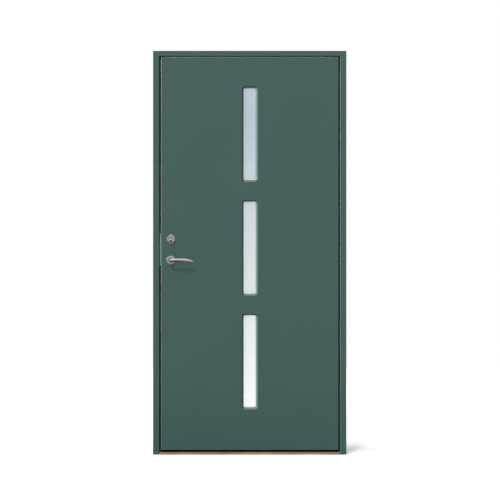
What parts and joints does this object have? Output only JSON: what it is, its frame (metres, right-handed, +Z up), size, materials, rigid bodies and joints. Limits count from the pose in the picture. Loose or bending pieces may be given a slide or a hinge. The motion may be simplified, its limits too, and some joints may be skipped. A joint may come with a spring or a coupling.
{
  "type": "front door",
  "caption": "Flush outward-opening front door in its timber frame, with slot windows down the middle, a lever handle, a lock cylinder and an oak sill.",
  "frame": {"origin": "on the underside of the oak sill, at the middle of the frame's width and depth", "axes": "+Z up, +X to the right seen from outside, +Y into the house; the handle is on the left, at -X, and the hinges are on the right"},
  "size_m": [0.996, 0.1812, 2.08],
  "materials": {
    "paint": "satin paint",
    "guard_paint": "satin paint",
    "oak": "oiled",
    "seal": "matt",
    "steel": "satin",
    "screw_steel": "zinc plated",
    "handle_steel": "satin",
    "insulation": "foam",
    "glass": "frosted",
    "spacer": "satin"
  },
  "bodies": {
    "frame": {"head": "paint", "jamb_lock_side": "paint", "jamb_hinge_side": "paint", "threshold": "oak", "frame_seal": "seal", "threshold_seal": "seal", "strike_plate": "steel", "hinge_pins": "steel", "frame_plate_screws": "screw_steel", "frame_joint_screws": "screw_steel", "frame_sleeves": "screw_steel", "hinge_cup_top": "steel", "hinge_cup_middle": "steel", "hinge_cup_bottom": "steel"},
    "leaf": {"outer_skin": "paint", "inner_skin": "paint", "stile_lock_side": "paint", "stile_hinge_side": "paint", "rail_top": "paint", "rail_bottom": "paint", "insulation_core": "insulation", "leaf_plate_screws": "screw_steel", "lock_case": "screw_steel", "forend": "steel", "latch_guard": "guard_paint", "outer_rosette": "handle_steel", "inner_rosette": "handle_steel", "rosette_bolts": "screw_steel", "cylinder_ring": "handle_steel", "cylinder_body": "handle_steel", "turn_rosette": "handle_steel", "hinge_arm_top": "steel", "outer_moulding_top": "paint", "inner_moulding_top": "paint", "outer_pane_top": "glass", "middle_pane_top": "glass", "inner_pane_top": "glass", "spacers_top": "spacer", "hinge_arm_middle": "steel", "outer_moulding_middle": "paint", "inner_moulding_middle": "paint", "outer_pane_middle": "glass", "middle_pane_middle": "glass", "inner_pane_middle": "glass", "spacers_middle": "spacer", "hinge_arm_bottom": "steel", "outer_moulding_bottom": "paint", "inner_moulding_bottom": "paint", "outer_pane_bottom": "glass", "middle_pane_bottom": "glass", "inner_pane_bottom": "glass", "spacers_bottom": "spacer"},
    "handle": {"lever_outer": "handle_steel", "lever_inner": "handle_steel", "spindle": "steel", "follower": "steel"},
    "latch": {"latch_bolt": "steel"},
    "deadbolt": {"deadbolt": "steel"},
    "turn": {"thumbturn": "handle_steel"},
    "plug": {"cylinder_plug": "handle_steel"}
  },
  "joints": [
    {"name": "leaf_swing", "type": "hinge", "parent": "frame", "child": "leaf", "pos_m": [0.4805, -0.0435, 1.05], "axis": [0, 0, 1], "range_deg": [0, 105]},
    {"name": "handle_turn", "type": "hinge", "parent": "leaf", "child": "handle", "pos_m": [-0.406, -0.0575, 1.001], "axis": [0, 1, 0], "range_deg": [0, 45], "stiffness_Nm_per_rad": 1.2, "springref_deg": -28.65},
    {"name": "latch_slide", "type": "slide", "parent": "leaf", "child": "latch", "axis": [-1, 0, 0], "range_m": [0, 0.014]},
    {"name": "thumbturn_turn", "type": "hinge", "parent": "leaf", "child": "turn", "pos_m": [-0.4055, -0.0575, 1.0975], "axis": [0, 1, 0], "range_deg": [0, 90]},
    {"name": "deadbolt_slide", "type": "slide", "parent": "leaf", "child": "deadbolt", "axis": [-1, 0, 0], "range_m": [0, 0.02]},
    {"name": "plug_turn", "type": "hinge", "parent": "leaf", "child": "plug", "pos_m": [-0.4055, -0.0575, 1.0975], "axis": [0, 1, 0], "range_deg": [0, 90]}
  ],
  "couplings": [
    {"joint": "thumbturn_turn", "follows": "deadbolt_slide", "rad_per_m": 78.53},
    {"joint": "plug_turn", "follows": "deadbolt_slide", "rad_per_m": 78.53}
  ]
}
